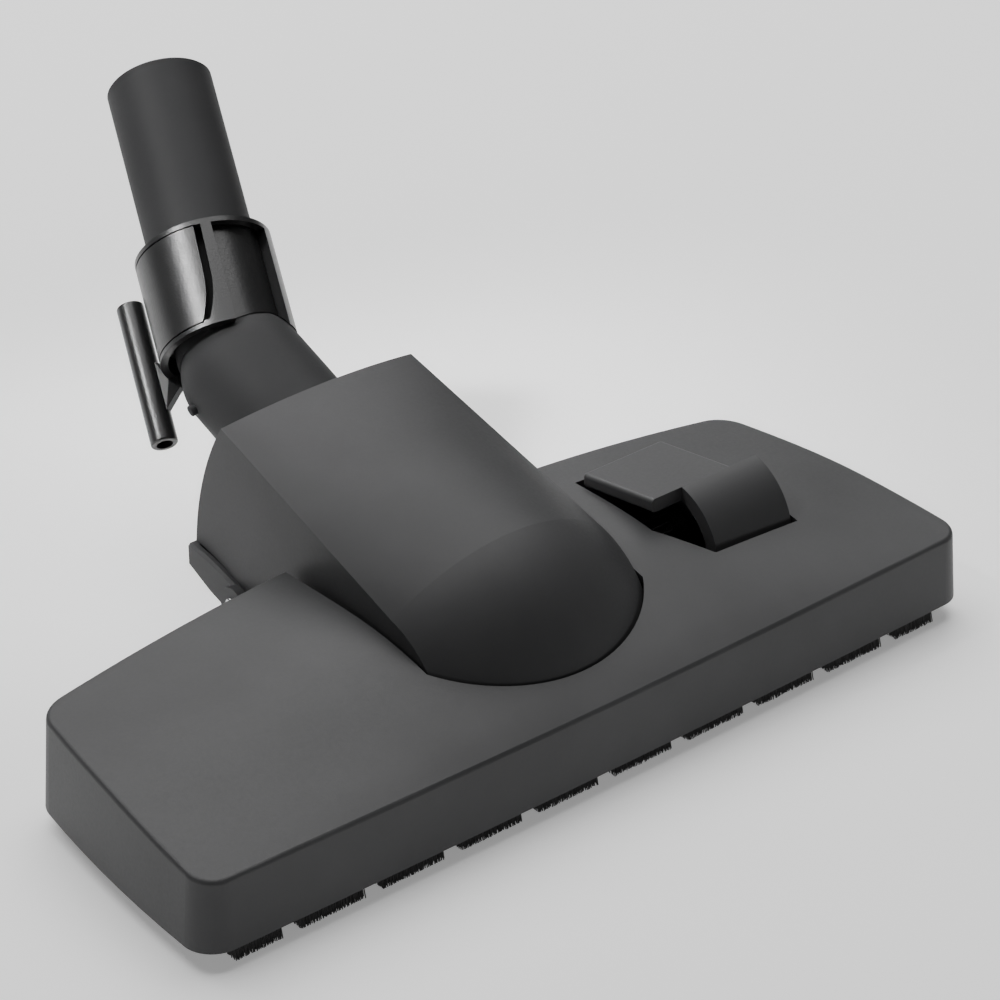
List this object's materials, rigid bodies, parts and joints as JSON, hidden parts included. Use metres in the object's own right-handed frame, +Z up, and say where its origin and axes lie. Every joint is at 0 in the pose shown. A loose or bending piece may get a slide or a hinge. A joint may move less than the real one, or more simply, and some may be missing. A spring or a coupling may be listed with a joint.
{
  "type": "vacuum floor brush head",
  "caption": "Low wide vacuum floor head with bristle strips round a suction mouth, a rocker pedal that lifts them, and a rolling joint that tilts and swivels up to a locking spigot.",
  "frame": {"origin": "middle of the footprint, on the floor", "axes": "+X along the head to the pedal's side, +Y to the rear where the neck is, +Z up"},
  "size_m": [0.279, 0.2478, 0.1347],
  "materials": {
    "shell_plastic": "fine satin texture",
    "joint_plastic": "fine satin texture",
    "neck_plastic": "smooth satin",
    "collar_plastic": "gloss black with a fine grain",
    "inner_plastic": "matt",
    "bristle": "dense black filaments",
    "lint_pile": "short directional pile",
    "seal_rubber": "matt",
    "wheel_plastic": "soft matt tread",
    "steel": "bright turned",
    "spring_steel": "plain"
  },
  "bodies": {
    "head": {"upper_shell": "shell_plastic", "sole_plate": "inner_plastic", "suction_duct": "inner_plastic", "duct_seal": "seal_rubber", "front_lint_strips": "lint_pile", "rear_lint_strips": "lint_pile", "shell_screws": "steel", "pedal_pin": "steel", "detent_spring": "spring_steel", "tilt_pin_right": "steel", "tilt_pin_left": "steel"},
    "brush_lift": {"lift_frame": "inner_plastic", "front_bristles": "bristle", "rear_bristles": "bristle"},
    "pedal": {"pedal": "shell_plastic"},
    "joint": {"joint_cover": "joint_plastic", "joint_base": "joint_plastic", "joint_screws": "steel", "wheel_axle": "steel", "swivel_washer": "inner_plastic"},
    "wheel_left": {"wheel_left": "wheel_plastic"},
    "wheel_right": {"wheel_right": "wheel_plastic"},
    "neck": {"swivel_neck": "neck_plastic", "locking_collar": "collar_plastic"},
    "latch": {"latch_button": "collar_plastic", "latch_spring": "spring_steel"}
  },
  "joints": [
    {"name": "neck_tilt", "type": "hinge", "parent": "head", "child": "joint", "pos_m": [0, -0.06742, 0.018], "axis": [1, 0, 0], "range_deg": [-2, 25]},
    {"name": "brush_lift", "type": "slide", "parent": "head", "child": "brush_lift", "axis": [0, 0, 1], "range_m": [0, 0.0065]},
    {"name": "pedal_rock", "type": "hinge", "parent": "head", "child": "pedal", "pos_m": [0, -0.07042, 0.033], "axis": [1, 0, 0], "range_deg": [-9, 0]},
    {"name": "left_wheel_spin", "type": "hinge", "parent": "joint", "child": "wheel_left", "pos_m": [0, -0.00442, 0.02], "axis": [1, 0, 0], "continuous": true},
    {"name": "right_wheel_spin", "type": "hinge", "parent": "joint", "child": "wheel_right", "pos_m": [0, -0.00442, 0.02], "axis": [1, 0, 0], "continuous": true},
    {"name": "neck_swivel", "type": "hinge", "parent": "joint", "child": "neck", "pos_m": [0, 0.04358, 0.0678], "axis": [0, 0.9205, 0.3907], "range_deg": [-143, 37]},
    {"name": "latch_press", "type": "slide", "parent": "neck", "child": "latch", "axis": [0.947, -0.2242, -0.2302], "range_m": [0, 0.0012], "stiffness_N_per_m": 1500, "springref_m": -0.001}
  ],
  "couplings": [
    {"joint": "brush_lift", "follows": "pedal_rock", "m_per_rad": -0.0413}
  ]
}
